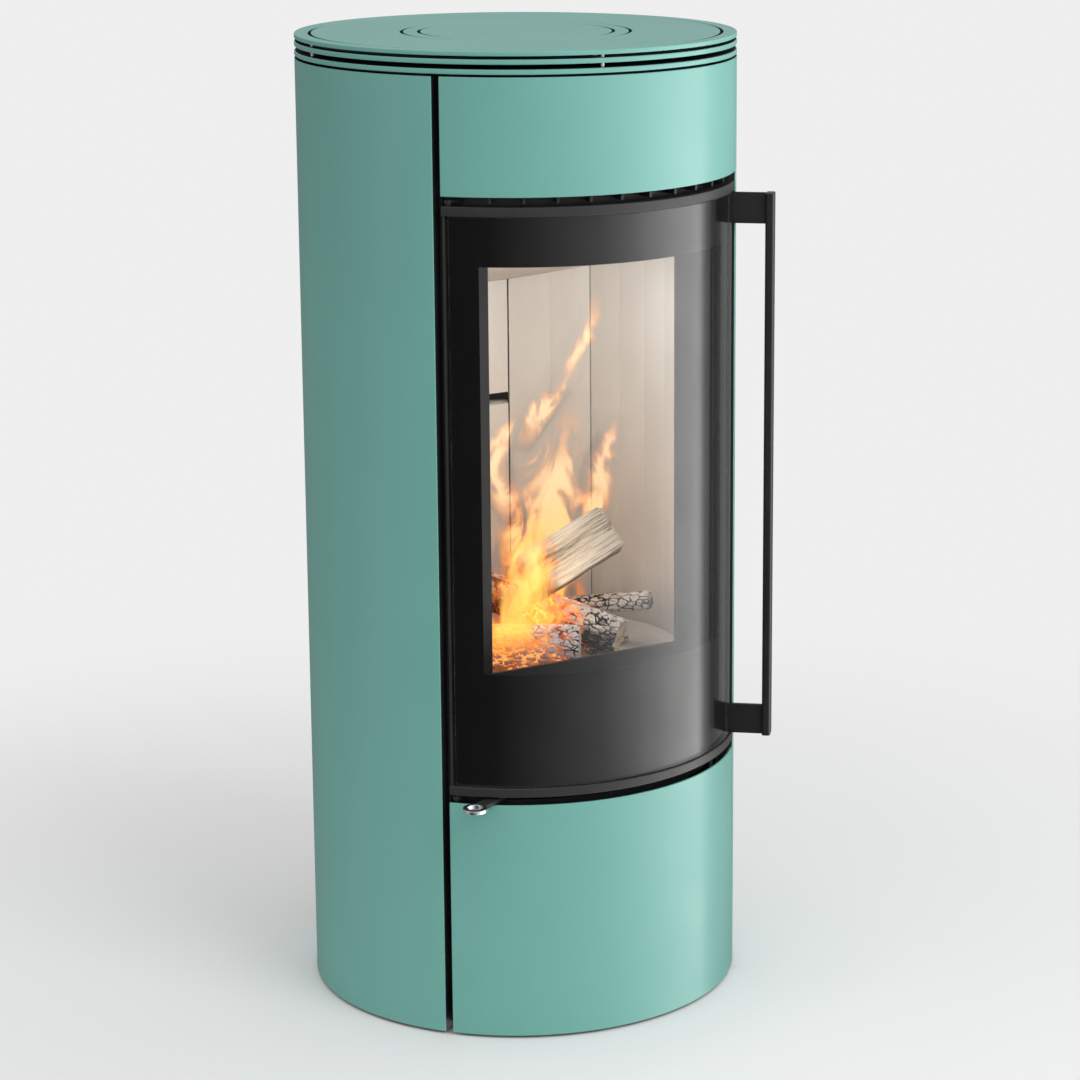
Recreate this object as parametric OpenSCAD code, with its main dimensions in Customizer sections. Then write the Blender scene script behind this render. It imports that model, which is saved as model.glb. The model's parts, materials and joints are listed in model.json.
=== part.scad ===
// Round wood burning stove, built from separate named pieces.
// The front faces -Y and +Z is up. The origin is on the floor, on the axis of the round body.
// Plan angles are measured from the front (-Y) towards +X, so +90 is the right side and 180 the back.

/* [Body] */
// Outer diameter of the cladding and of the top plates
body_d = 450; // [445:1:460]
// Height of the top surface above the floor
top_z = 1002.5; // [1000:0.5:1010]
// Thickness of the sheet steel cladding
clad_t = 2.5; // [2:0.5:3]
// Height of the lower edge of the cladding
clad_z = 3; // [2:0.5:4]
// Height of the upper edge of the cladding
clad_top_z = 978; // [976:0.5:979]
// Half angle of the front panels and of the fire door
front_half = 49.3; // [49:0.1:49.6]
// Plan angle at which the side panels start
side_start = 51.3; // [51:0.1:52]
// Plan angle at which the side panels end
side_end = 146; // [144:0.5:148]
// Lower edge of the upper front panel
upper_panel_z = 862.6; // [862:0.2:866]
// Upper edge of the lower door
lower_door_top_z = 249.6; // [248:0.2:249.8]

/* [Top] */
// Thickness of the top plate and its rim ring
top_t = 4.5; // [4:0.5:5]
// Thickness of the two lower rings
ring_t = 5; // [4.5:0.5:5.5]
// Underside of the middle ring
middle_ring_z = 990; // [989.5:0.5:990.5]
// Underside of the lower ring
lower_ring_z = 980.4; // [980:0.2:981]
// Radius of the slot near the rim of the top plate
rim_slot_r = 209.5; // [208:0.5:211]
// Width of the slots in the top
slot_w = 2.4; // [2:0.2:3]
// Outer radius of the ring around the flue cover
flue_ring_r = 116.5; // [114:0.5:118]
// Radius of the loose flue cover
flue_cover_r = 98; // [96:0.5:100]

/* [Door] */
// Underside of the bottom rail of the fire door
door_z = 257.4; // [257:0.2:258]
// Upper side of the top rail of the fire door
door_top_z = 853.2; // [852:0.2:854]
// Height of the bottom and top rails
rail_h = 9.8; // [9:0.2:10.4]
// Thickness of the curved glass
glass_t = 4; // [4:1:5]
// Half angle of the clear window in the glass print
window_half = 40; // [38:0.5:41]
// Lower edge of the clear window
window_z = 384; // [380:1:390]
// Upper edge of the clear window
window_top_z = 794; // [780:1:800]
// Radius of the hinge pins that both doors turn on
hinge_pin_r = 3; // [2.5:0.5:3]
// Radial clearance of the hinge pins and of the lever pivot
pin_gap = 0.05; // [0.03:0.01:0.08]

/* [Handle] */
// Plan angle of the handle
handle_a = 49.85; // [49.8:0.05:50]
// Radius of the handle bar's inner face
handle_r = 257; // [254:1:260]
// Depth of the handle bar, away from the stove
handle_depth = 9; // [8:1:11]
// Width of the handle bar across its face
handle_w = 18; // [14:1:20]
// Height of the handle brackets
bracket_h = 32; // [28:1:36]
// Lower end of the handle
handle_z = 265.6; // [260:0.2:270]
// Upper end of the handle
handle_top_z = 841.6; // [836:0.2:846]

/* [Firebox] */
// Outer radius of the welded firebox shell
shell_r = 204; // [202:1:204]
// Thickness of the shell plate
shell_t = 4; // [3:1:4]
// Radius at the corners of the faceted lining
lining_r = 176; // [172:1:178]
// Top of the firebed
firebed_z = 345; // [335:1:350]
// Half width of the opening in the inner front plate
mouth_half = 110; // [105:1:112]
// Lower edge of the opening in the inner front plate
mouth_z = 371; // [365:1:375]
// Upper edge of the opening in the inner front plate
mouth_top_z = 812; // [806:1:820]
// Outer radius of the flue spigot and of the top collar
flue_r = 75; // [75:1:75]
// Height of the rear flue spigot's axis
flue_z = 850; // [848:1:852]
// Outer radius of the fresh air spigot
air_r = 50; // [50:1:50]
// Height of the fresh air spigot's axis
air_z = 90; // [80:1:92]

/* [Air lever] */
// Distance of the pivot in front of the stove's axis
pivot_y = -100; // [-102:1:-98]
// Length from the pivot to the centre of the finger ring
lever_len = 186; // [184:1:188]
// Angle of the lever at rest, from straight forward
lever_a = -61.8; // [-62:0.2:-60]
// Width of the lever's arm
lever_w = 13; // [12:1:14]
// Outer diameter of the finger ring
lever_ring_d = 24; // [22:1:24]
// Diameter of the finger hole
lever_hole_d = 15.5; // [14:0.5:16]

/* [Hidden] */
$fn = 96;

body_r = body_d / 2;
clad_in = body_r - clad_t;
shell_in = shell_r - shell_t;
base_z = 8;
base_t = 4;
foot_r = 165;
foot_stem_r = 4;
carcass_z = base_z + base_t;
box_floor_z = 245;
box_floor_t = 4;
firebox_z = 258;
firebox_top_z = 940;
plate_t = 4;
shelf_z = 150;
shelf_t = 2;
port_r = 9;
port_ring_r = 28;
port_step = 50;
pivot_r = 4;
lever_z = 251.2;
lever_t = 4;
shutter_z = lever_z + lever_t + 0.2;
shutter_t = 2;
shutter_r = 42;
chute_y = 15;
chute_r = 55;
grate_r = 66;
floor_plate_z = 316;
mouth_y = -131;
lining_out = shell_in - 1.5;
brick_gap = 0.25;
back_half = 26;
rear_step = 15;
side_step = 12;
lining_top_z = 800;
back_slot_z = 579;
back_slot_top_z = 592;
back_top_z = 717;
hinge_r = 217.5;
hinge_a = -47.9;
hinge_xy = at(hinge_r, hinge_a);
frame_in = 209;
frame_out = 212;
frame_half = 49.2;
glass_in = 219;
glass_half = 47.9;
print_t = 0.3;
glass_z = door_z + rail_h + 0.3;
glass_top_z = door_top_z - rail_h - 0.3;
post_r = 208;
collar_r = 196;
collar_top_z = 972;
spacer_step = 90;
spacer_a0 = -7.7;
rib_a0 = -37;
rib_step = 8.65;
screw_a = side_end + 4;
spigot_free_y = 205;
spigot_end_y = 222;
spigot_step = 1.2;
hinge_plate_t = 3.5;
arm_half = 4.5;
arm_turn = 15;
top_bracket_z = door_top_z + 2.3;
mid_bracket_z = 252;
base_bracket_z = carcass_z;
through = 400;
duct_half = 70;
duct_y = 145;
duct_end_y = 183.5;
duct_z = 30;
chute_t = 3;
rope_half = 44;
gasket_half = 43;
keep_a0 = 44.6;
keep_a1 = 48.4;
clad_black = "dimgray";
clad_teal = "cadetblue";

// A point in plan at radius r and plan angle a
function at(r, a) = [r * sin(a), -r * cos(a)];

// Moves children to radius r at plan angle a, with their -Y pointing outwards
module polar(r, a, z = 0) {
    translate([r * sin(a), -r * cos(a), z])
        rotate([0, 0, a])
            children();
}

// A pie slice in plan between two plan angles
module sector(a0, a1, reach) {
    steps = ceil((a1 - a0) / 30);
    rim = [for (i = [0:steps]) at(reach, a0 + (a1 - a0) * i / steps)];
    polygon(concat([[0, 0]], rim));
}

// A piece of cylinder wall between two radii, two plan angles and two heights
module band(r0, r1, a0, a1, z0, z1) {
    translate([0, 0, z0])
        linear_extrude(z1 - z0)
            intersection() {
                difference() {
                    circle(r1);
                    circle(r0);
                }
                sector(a0, a1, 2 * r1);
            }
}

// A curved frame: a band with a smaller band cut out of it
module band_frame(r0, r1, half, z0, z1, hole_half, hole_z0, hole_z1) {
    difference() {
        band(r0, r1, -half, half, z0, z1);
        band(r0 - 2, r1 + 2, -hole_half, hole_half, hole_z0, hole_z1);
    }
}

// A flat ring between two radii with its outer edges broken by c
module flat_ring(r0, r1, z0, z1, c = 0) {
    rotate_extrude()
        polygon([[r0, z0], [r1 - c, z0], [r1, z0 + c], [r1, z1 - c], [r1 - c, z1], [r0, z1]]);
}

// A plain tube
module tube(r0, r1, z0, z1) {
    translate([0, 0, z0])
        difference() {
            cylinder(h = z1 - z0, r = r1);
            translate([0, 0, -1]) cylinder(h = z1 - z0 + 2, r = r0);
        }
}

// A disc with its centre at the given point
module disc(r, z0, z1, x = 0, y = 0) {
    translate([x, y, z0]) cylinder(h = z1 - z0, r = r);
}

// A block given by its limits
module block(x0, x1, y0, y1, z0, z1) {
    translate([x0, y0, z0]) cube([x1 - x0, y1 - y0, z1 - z0]);
}

// A pipe stub along +Y from y0. Its free end has the nominal radius, and the length inside the shell is
// thinner.
module stepped_spigot(r0, r1, y0, z) {
    translate([0, 0, z])
        rotate([-90, 0, 0])
            difference() {
                union() {
                    translate([0, 0, y0]) cylinder(h = spigot_end_y - y0 - 1, r = r1 - spigot_step);
                    translate([0, 0, spigot_free_y]) cylinder(h = spigot_end_y - spigot_free_y, r = r1);
                }
                translate([0, 0, y0 - 1]) cylinder(h = spigot_end_y - y0 + 2, r = r0);
            }
}

// A round cutter along +Y through the back wall
module back_hole(r, z) {
    reach = 120;
    translate([0, reach, z]) rotate([-90, 0, 0]) cylinder(h = reach, r = r);
}

// ---- Base and compartment ----

module foot_places() {
    for (a = [45:90:315]) polar(foot_r, a) children();
}

module levelling_feet() {
    pad_h = 4;
    pad_r = 16;
    stem_h = 26;
    color("black")
        foot_places() {
            cylinder(h = pad_h, r = pad_r);
            cylinder(h = stem_h, r = foot_stem_r);
        }
}

module base_plate() {
    color(clad_black)
        difference() {
            disc(post_r, base_z, carcass_z);
            foot_places() cylinder(h = through, r = foot_stem_r + pin_gap);
        }
}

// Lower carcass: a tube with a wide mouth for the compartment behind the lower door
module compartment_shell() {
    wall = 2;
    opening_half = 44;
    sill = 8;
    lintel = 5;
    color(clad_black)
        difference() {
            tube(shell_r - wall, shell_r, carcass_z, box_floor_z);
            band(shell_r - 10, shell_r + 10, -opening_half, opening_half,
                carcass_z + sill, box_floor_z - lintel);
            back_hole(air_r - spigot_step + 0.3, air_z);
        }
}

// Shelf for the ash pan, cut away at the back where the fresh air duct passes
module drawer_shelf() {
    side_gap = 5;
    front_gap = 2;
    x = duct_half + side_gap;
    color(clad_black)
        difference() {
            disc(shell_r - 2.5, shelf_z, shelf_z + shelf_t);
            block(-x, x, duct_y - front_gap, body_r, shelf_z - 1, shelf_z + shelf_t + 1);
        }
}

// Top of the compartment and floor of the flat air box under the firebox
module air_box_floor() {
    color(clad_black)
        difference() {
            disc(shell_r, box_floor_z, box_floor_z + box_floor_t);
            disc(chute_r + 0.5, 0, through, 0, chute_y);
            block(-duct_half + 10, duct_half - 10, duct_y + 5, duct_end_y + 1.5, 0, through);
            disc(pivot_r, 0, through, 0, pivot_y);
        }
}

// Curved wall that closes the air box at the sides and the back and leaves the front free for the lever
module spacer_band() {
    start = 76;
    depth = 8;
    color(clad_black)
        band(shell_r - depth, shell_r, start, 360 - start, box_floor_z + box_floor_t, firebox_z);
}

module fresh_air_spigot() {
    color(clad_black)
        stepped_spigot(air_r - 2, air_r, 184, air_z);
}

// Sheet duct that leads the outside air up from the spigot to the air box
module fresh_air_duct() {
    w = duct_half;
    t = 1.5;
    color(clad_black)
        difference() {
            block(-w, w, duct_y, duct_end_y, duct_z, box_floor_z);
            block(-w + t, w - t, duct_y + t, duct_end_y - t, duct_z + t, box_floor_z + 1);
            back_hole(air_r - 2, air_z);
        }
}

module lever_pivot_pin() {
    color("silver")
        disc(pivot_r, box_floor_z - 3, shutter_z + shutter_t, 0, pivot_y);
}

// ---- Firebox ----

module firebox_shell() {
    opening_half = 43;
    opening_z0 = 290;
    opening_z1 = 822;
    color(clad_black)
        difference() {
            tube(shell_in, shell_r, firebox_z + plate_t, firebox_top_z - plate_t);
            band(shell_in - 5, shell_r + 5, -opening_half, opening_half, opening_z0, opening_z1);
            back_hole(flue_r - spigot_step + 0.3, flue_z);
        }
}

module firebox_base() {
    color(clad_black)
        difference() {
            disc(shell_r, firebox_z, firebox_z + plate_t);
            disc(chute_r + 0.5, 0, through, 0, chute_y);
            for (i = [-1:1])
                translate([0, pivot_y, 0])
                    rotate([0, 0, i * port_step])
                        translate([0, -port_ring_r, firebox_z - 1])
                            cylinder(h = plate_t + 2, r = port_r);
        }
}

module firebox_top() {
    color(clad_black)
        difference() {
            disc(shell_r, firebox_top_z - plate_t, firebox_top_z);
            disc(flue_r + 0.3, 0, top_z);
        }
}

// Flat plate across the front of the firebox, with the mouth that the fuel goes through
module inner_front_plate() {
    color(clad_black)
        difference() {
            intersection() {
                disc(shell_in - 0.3, firebox_z + plate_t, firebox_top_z - plate_t);
                block(-shell_r, shell_r, mouth_y, mouth_y + plate_t, 0, top_z);
            }
            block(-mouth_half, mouth_half, mouth_y - 5, mouth_y + 10, mouth_z, mouth_top_z);
        }
}

module floor_plate() {
    color(clad_black)
        difference() {
            intersection() {
                disc(shell_in - 0.3, floor_plate_z, floor_plate_z + plate_t);
                block(-shell_r, shell_r, mouth_y + plate_t, shell_r, 0, top_z);
            }
            disc(chute_r - chute_t, 0, through, 0, chute_y);
        }
}

module ash_chute() {
    low_z = 234;
    color(clad_black)
        translate([0, chute_y, 0])
            tube(chute_r - chute_t, chute_r, low_z, floor_plate_z);
}

// Round cast grate with straight slots
module grate() {
    pitch = 11;
    slot = 6;
    rim = 16;
    recess = 6;
    color("dimgray")
        translate([0, chute_y, 0])
            difference() {
                disc(grate_r, floor_plate_z + plate_t, firebed_z - recess);
                for (i = [-4:4]) {
                    x = i * pitch;
                    half = sqrt(pow(grate_r - rim, 2) - pow(x, 2)) - slot;
                    block(x - slot / 2, x + slot / 2, -half, half, 300, through);
                }
            }
}

// Inside outline of the lining, drawn as flat facets around the fire
module lining_core(r) {
    rear = [for (b = [back_half:rear_step:back_half + 2 * rear_step]) b];
    side = [for (i = [1:7]) back_half + 2 * rear_step + i * side_step];
    right = [for (b = concat(rear, side)) at(r, 180 - b)];
    left = [for (i = [len(right) - 1:-1:0]) [-right[i][0], right[i][1]]];
    polygon(concat(right, left));
}

// Lining bricks between two angles from the back, standing against the shell
module lining_wall(b0, b1, z0, z1) {
    translate([0, 0, z0])
        linear_extrude(z1 - z0)
            intersection() {
                difference() {
                    circle(lining_out);
                    lining_core(lining_r);
                }
                sector(180 - b1 + brick_gap, 180 - b0 - brick_gap, 2 * lining_out);
                translate([-shell_r, mouth_y + plate_t + 0.5]) square(2 * shell_r);
            }
}

module floor_brick_right() {
    color("tan")
        translate([0, 0, floor_plate_z + plate_t])
            linear_extrude(firebed_z - floor_plate_z - plate_t)
                intersection() {
                    difference() {
                        lining_core(lining_r - 1.5);
                        translate([0, chute_y]) circle(grate_r + 1);
                    }
                    translate([0.5, mouth_y + plate_t + 0.5]) square(2 * shell_r);
                }
}

module floor_brick_left() {
    mirror([1, 0, 0]) floor_brick_right();
}

// The two back bricks leave an air slot between them
module lining_back_lower() {
    color("wheat") lining_wall(-back_half, back_half, floor_plate_z + plate_t, back_slot_z);
}

module lining_back_upper() {
    color("wheat") lining_wall(-back_half, back_half, back_slot_top_z, back_top_z);
}

module lining_rear_right() {
    color("wheat")
        lining_wall(back_half, back_half + 2 * rear_step, floor_plate_z + plate_t, lining_top_z);
}

module lining_rear_left() {
    mirror([1, 0, 0]) lining_rear_right();
}

module lining_side_right() {
    side_reach = 140;
    color("wheat")
        lining_wall(back_half + 2 * rear_step, side_reach, floor_plate_z + plate_t, lining_top_z);
}

module lining_side_left() {
    mirror([1, 0, 0]) lining_side_right();
}

// Sloping brick that turns the flames towards the front
module baffle_brick() {
    slope = 16.5;
    thick = 25;
    front_y = -45;
    back_y = 165;
    color("wheat")
        intersection() {
            linear_extrude(top_z)
                intersection() {
                    lining_core(lining_r - 2);
                    translate([-shell_r, front_y]) square(2 * shell_r);
                }
            translate([0, back_y, back_top_z - 2])
                rotate([-slope, 0, 0])
                    block(-shell_r, shell_r, -260, 40, 0, thick);
        }
}

// Steel plate above the baffle that sends the smoke to the back again
module smoke_plate() {
    z = 836;
    thick = 3;
    back_y = 60;
    color(clad_black)
        intersection() {
            disc(shell_in - 0.5, z, z + thick);
            block(-shell_r, shell_r, mouth_y + plate_t + 0.5, back_y, 0, top_z);
        }
}

module rear_flue_spigot() {
    color(clad_black)
        stepped_spigot(flue_r - 3, flue_r, 180, flue_z);
}

// ---- Top ----

module top_flue_collar() {
    color(clad_black)
        tube(flue_r - 3, flue_r, firebox_top_z - 10, collar_top_z);
}

module collar_blanking_plate() {
    color(clad_black)
        disc(flue_r + 5, collar_top_z, collar_top_z + 3);
}

// Ring wall on the firebox that carries the top plates, with windows for the warm air
module top_support_collar() {
    window_w = 90;
    foot = 6;
    head = 8;
    color(clad_black)
        difference() {
            tube(collar_r - 3, collar_r, firebox_top_z, lower_ring_z);
            for (a = [22.5:45:337.5])
                rotate([0, 0, a])
                    block(-window_w / 2, window_w / 2, -210, -150, firebox_top_z + foot, lower_ring_z - head);
        }
}

module ring_lower() {
    color(clad_teal) flat_ring(collar_r - 6, body_r, lower_ring_z, lower_ring_z + ring_t, 0.6);
}

module ring_middle() {
    color(clad_teal) flat_ring(collar_r - 6, body_r, middle_ring_z, middle_ring_z + ring_t, 0.6);
}

module ring_top() {
    color(clad_teal) flat_ring(rim_slot_r + slot_w / 2, body_r, top_z - top_t, top_z, 0.6);
}

module top_plate() {
    color(clad_teal) flat_ring(flue_ring_r + slot_w / 2, rim_slot_r - slot_w / 2, top_z - top_t, top_z, 0.3);
}

module flue_ring() {
    color(clad_teal)
        flat_ring(flue_cover_r + slot_w, flue_ring_r - slot_w / 2, top_z - top_t, top_z, 0.3);
}

module flue_cover() {
    color(clad_teal) flat_ring(0, flue_cover_r, top_z - top_t, top_z, 0.3);
}

// Three bars under the top plate that the flue ring and cover lie on
module cover_support_tabs() {
    half_w = 9;
    reach = 135;
    inner = 84;
    thick = 3;
    color(clad_black)
        for (a = [60:120:300])
            rotate([0, 0, a]) block(-half_w, half_w, -reach, -inner, top_z - top_t - thick, top_z - top_t);
}

// Short spacers that hold the plates apart
module ring_spacers() {
    rim_pin_r = 2;
    inner_pin_r = 3;
    lower_gap = middle_ring_z - lower_ring_z - ring_t;
    upper_gap = top_z - top_t - middle_ring_z - ring_t;
    color("silver")
        for (a = [spacer_a0:spacer_step:spacer_a0 + 270]) {
            polar(body_r - 7, a, lower_ring_z + ring_t) cylinder(h = lower_gap, r = rim_pin_r);
            polar(body_r - 7, a, middle_ring_z + ring_t) cylinder(h = upper_gap, r = rim_pin_r);
            polar(body_r - 25, a, middle_ring_z + ring_t) cylinder(h = upper_gap, r = inner_pin_r);
        }
}

// ---- Cladding ----

// Curved side panel with its front edge folded inwards
module side_panel_right() {
    color(clad_teal) {
        band(clad_in, body_r, side_start, side_end, clad_z, clad_top_z);
        rotate([0, 0, side_start])
            block(0.3, clad_t + 0.3, -clad_in - 1, -post_r - 0.1, clad_z, clad_top_z);
    }
}

module side_panel_left() {
    mirror([1, 0, 0]) side_panel_right();
}

// Black rear panel with cut-outs for both spigots and rows of vent slots
module rear_panel() {
    gap = 0.8;
    flue_margin = 14;
    air_margin = 12;
    slot_pitch = 22;
    slot_half = 3;
    slot_h = 70;
    row_z = 300;
    row_step = 150;
    color(clad_black)
        difference() {
            band(clad_in, body_r, side_end + gap, 360 - side_end - gap, clad_z, clad_top_z);
            back_hole(flue_r + flue_margin, flue_z);
            back_hole(air_r + air_margin, air_z);
            for (row = [0:2])
                for (i = [-4:4])
                    translate([i * slot_pitch, 150, row_z + row * row_step])
                        block(-slot_half, slot_half, 0, 100, 0, slot_h);
        }
}

module upper_front_panel() {
    color(clad_teal) band(clad_in, body_r, -front_half, front_half, upper_panel_z, clad_top_z);
}

// Black posts behind the gaps beside the front and behind the seams of the rear panel.
// The front posts carry short arms, kept low in the gap, for the upper front panel.
module cladding_posts() {
    r0 = shell_r + 0.3;
    r1 = clad_in - 0.1;
    color("black")
        for (side = [0, 1])
            mirror([side, 0, 0]) {
                band(r0, post_r, 50.4, 57, carcass_z, clad_top_z);
                for (z = [880, 960]) {
                    band(r0, post_r, 47.5, 50.9, z, z + 4);
                    band(r0, r1, 47.5, 48.9, z, z + 4);
                }
                band(r0, r1, side_end - 2, side_end + 5.5, carcass_z, clad_top_z);
            }
}

// Curved strip above the fire door with ribs across the slot where the window air goes in
module air_inlet_strip() {
    r0 = shell_r + 0.3;
    rib_half = 0.4;
    rib_z = 856;
    rib_h = 5.5;
    color("black") {
        band(r0, r0 + 2, -42, 46, 854.6, 866);
        for (i = [0:9]) {
            a = rib_a0 + i * rib_step;
            band(shell_r + 2, 220, a - rib_half, a + rib_half, rib_z, rib_z + rib_h);
        }
    }
}

// ---- Hinges and catches on the body ----

// Narrow arm from the body to the pin. It leaves the pin sideways, so the door edge can swing past it.
module hinge_arm(z, len, r_clear) {
    difference() {
        translate([hinge_xy[0], hinge_xy[1], z]) {
            cylinder(h = hinge_plate_t, r = arm_half);
            rotate([0, 0, arm_turn]) block(0, len, -arm_half + 0.3, arm_half - 0.3, 0, hinge_plate_t);
        }
        disc(r_clear, z - 1, z + hinge_plate_t + 1);
        translate([hinge_xy[0], hinge_xy[1], z - 1])
            cylinder(h = hinge_plate_t + 2, r = hinge_pin_r);
    }
}

module hinge_brackets() {
    reach = 24;
    color("black") {
        hinge_arm(top_bracket_z, reach, shell_r + 2.4);
        hinge_arm(base_bracket_z, reach, shell_r + 0.2);
        hinge_arm(mid_bracket_z, reach, shell_r - 6);
        band(shell_r - 8, shell_r - 0.2, -48, -43, box_floor_z + box_floor_t, firebox_z);
    }
}

module hinge_pin(z0, z1) {
    translate([hinge_xy[0], hinge_xy[1], z0]) cylinder(h = z1 - z0, r = hinge_pin_r);
}

// One pin at the top, one in the middle that both doors share, and one at the base
module hinge_pins() {
    rail_floor = 1.5;
    middle_pin_z = 238;
    base_pin_len = 14;
    color("silver") {
        hinge_pin(door_top_z - rail_h + rail_floor, top_bracket_z + hinge_plate_t);
        hinge_pin(middle_pin_z, door_z + rail_h - rail_floor);
        hinge_pin(base_bracket_z, base_bracket_z + base_pin_len);
    }
}

// Magnetic keeps on the right side of the body, one for each door
module catch_keeps() {
    color("silver") {
        band(shell_r + 0.2, post_r + 0.4, 46.8, keep_a1, 530, 570);
        band(shell_r + 0.2, 216, keep_a0, keep_a1, 110, 140);
    }
}

// Hexagon nuts that lock the feet, and pan head screws that hold the rear panel
module fasteners() {
    nut_h = 6;
    nut_r = 8;
    head_h = 2;
    head_r = 4;
    color("silver") {
        foot_places()
            difference() {
                translate([0, 0, carcass_z]) cylinder(h = nut_h, r = nut_r, $fn = 6);
                cylinder(h = through, r = foot_stem_r + pin_gap);
            }
        for (a = [screw_a, 360 - screw_a])
            for (z = [40, 345, 650, 940])
                polar(body_r, a, z)
                    rotate([90, 0, 0])
                        cylinder(h = head_h, r = head_r);
    }
}

// ---- Fuel ----

// A log between two points
module log(p, q, r) {
    d = q - p;
    len = norm(d);
    translate(p)
        rotate([0, acos(d[2] / len), atan2(d[1], d[0])])
            cylinder(h = len, r = r, $fn = 9);
}

module firewood() {
    color("sienna") {
        log([94, -28, 473], [-4, -20, 428], 24);
        log([-64, 106, 424], [76, -74, 368], 21);
        log([123, -60, 398], [44, 36, 380], 11);
        log([-105, -8, 371], [15, -94, 371], 24);
    }
}

// ---- Fire door ----

module door_rail(z) {
    difference() {
        band(frame_in, body_r - 0.5, -front_half, front_half, z, z + rail_h);
        translate([hinge_xy[0], hinge_xy[1], z - 1])
            cylinder(h = rail_h + 2, r = hinge_pin_r + pin_gap);
    }
}

module door_rails() {
    color("black") {
        door_rail(door_z);
        door_rail(door_top_z - rail_h);
    }
}

// Curved steel frame behind the glass, with its upright edges folded forwards
module door_inner_frame() {
    z0 = door_z + rail_h;
    z1 = door_top_z - rail_h;
    color("black") {
        band_frame(frame_in, frame_out, frame_half, z0, z1, 42, 302, 815);
        for (side = [0, 1])
            mirror([side, 0, 0])
                band(frame_out - 0.5, 221.5, frame_half - 0.7, frame_half, z0, z1);
    }
}

module door_rope_seal() {
    color("dimgray")
        band_frame(shell_r + 0.5, frame_in - 0.1, rope_half + 2.3, 274, 838, rope_half, 284, 828);
}

module glass_gasket() {
    color("dimgray")
        band_frame(frame_out + 0.1, glass_in - print_t - 0.3, gasket_half + 4.4, 270, 840,
            gasket_half, 292, 820);
}

// Black ceramic print on the inner face of the glass
module glass_print() {
    color("black")
        band_frame(glass_in - print_t - 0.1, glass_in - 0.1, glass_half, glass_z, glass_top_z,
            window_half, window_z, window_top_z);
}

module door_glass() {
    color("lightblue", 0.4)
        band(glass_in, glass_in + glass_t, -glass_half, glass_half, glass_z, glass_top_z);
}

// Upright bar on two radial bracket plates
module door_handle() {
    plate = 4;
    r0 = 211;
    color("black")
        rotate([0, 0, handle_a]) {
            for (z = [handle_z, handle_top_z - bracket_h])
                block(-plate / 2, plate / 2, -handle_r - 2, -r0, z, z + bracket_h);
            translate([0, -handle_r - handle_depth / 2, handle_z])
                linear_extrude(handle_top_z - handle_z)
                    rounded_bar(handle_w, handle_depth, 2.5);
        }
}

// Rectangle with rounded corners, centred
module rounded_bar(w, d, r) {
    square([w - 2 * r, d], center = true);
    square([w, d - 2 * r], center = true);
    for (x = [-1, 1])
        for (y = [-1, 1])
            translate([x * (w / 2 - r), y * (d / 2 - r)]) circle(r);
}

// ---- Lower door ----

module lower_door_panel() {
    color(clad_teal)
        band(clad_in, body_r, -front_half, front_half, clad_z, lower_door_top_z);
}

module lower_door_hinge_plate(z) {
    thick = 5;
    difference() {
        band(211, clad_in - 0.1, -front_half, -40, z, z + thick);
        translate([hinge_xy[0], hinge_xy[1], z - 1])
            cylinder(h = thick + 2, r = hinge_pin_r + pin_gap);
    }
}

module lower_door_hinge_plates() {
    color("black") {
        lower_door_hinge_plate(base_bracket_z + hinge_plate_t + 2);
        lower_door_hinge_plate(mid_bracket_z - 12);
        band(216.5, clad_in - 0.1, keep_a0, keep_a1, 105, 145);
    }
}

// ---- Ash pan ----

// Folded sheet pan with a bow handle at its front
module ash_pan() {
    w = 118;
    y0 = -146;
    y1 = 80;
    z0 = shelf_z + shelf_t + 0.4;
    z1 = 224;
    t = 1.5;
    bow_half = 40;
    bow_reach = 20;
    bow_z = 190;
    bar = 6;
    color("gray") {
        difference() {
            block(-w, w, y0, y1, z0, z1);
            block(-w + t, w - t, y0 + t, y1 - t, z0 + t, z1 + 5);
        }
        for (x = [-bow_half, bow_half - bar])
            block(x, x + bar, y0 - bow_reach + 4, y0, bow_z, bow_z + bar);
        block(-bow_half, bow_half, y0 - bow_reach, y0 - bow_reach + bar, bow_z, bow_z + bar);
    }
}

// ---- Air lever ----

// Arm with the finger ring at its end and the round shutter plate, with three ports, at its pivot
module air_lever() {
    hub_r = 14;
    color("black")
        translate([0, pivot_y, 0])
            rotate([0, 0, lever_a - 90])
                difference() {
                    union() {
                        translate([0, -lever_w / 2, lever_z]) cube([lever_len, lever_w, lever_t]);
                        disc(lever_ring_d / 2, lever_z, lever_z + lever_t, lever_len, 0);
                        disc(hub_r, lever_z, lever_z + lever_t);
                        disc(shutter_r, lever_z + lever_t - 0.5, shutter_z + shutter_t);
                    }
                    disc(lever_hole_d / 2, 0, through, lever_len, 0);
                    disc(pivot_r + pin_gap, 0, through);
                    rotate([0, 0, 90 - port_step])
                        for (i = [-1:1])
                            rotate([0, 0, i * port_step])
                                disc(port_r, 0, through, port_ring_r, 0);
                }
}

levelling_feet();
base_plate();
compartment_shell();
drawer_shelf();
air_box_floor();
spacer_band();
fresh_air_spigot();
fresh_air_duct();
lever_pivot_pin();
firebox_shell();
firebox_base();
firebox_top();
inner_front_plate();
floor_plate();
ash_chute();
grate();
floor_brick_left();
floor_brick_right();
lining_back_lower();
lining_back_upper();
lining_rear_left();
lining_rear_right();
lining_side_left();
lining_side_right();
baffle_brick();
smoke_plate();
rear_flue_spigot();
top_flue_collar();
collar_blanking_plate();
top_support_collar();
ring_lower();
ring_middle();
ring_top();
top_plate();
flue_ring();
flue_cover();
cover_support_tabs();
ring_spacers();
side_panel_left();
side_panel_right();
rear_panel();
upper_front_panel();
cladding_posts();
air_inlet_strip();
hinge_brackets();
hinge_pins();
catch_keeps();
fasteners();
firewood();
door_rails();
door_inner_frame();
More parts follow.
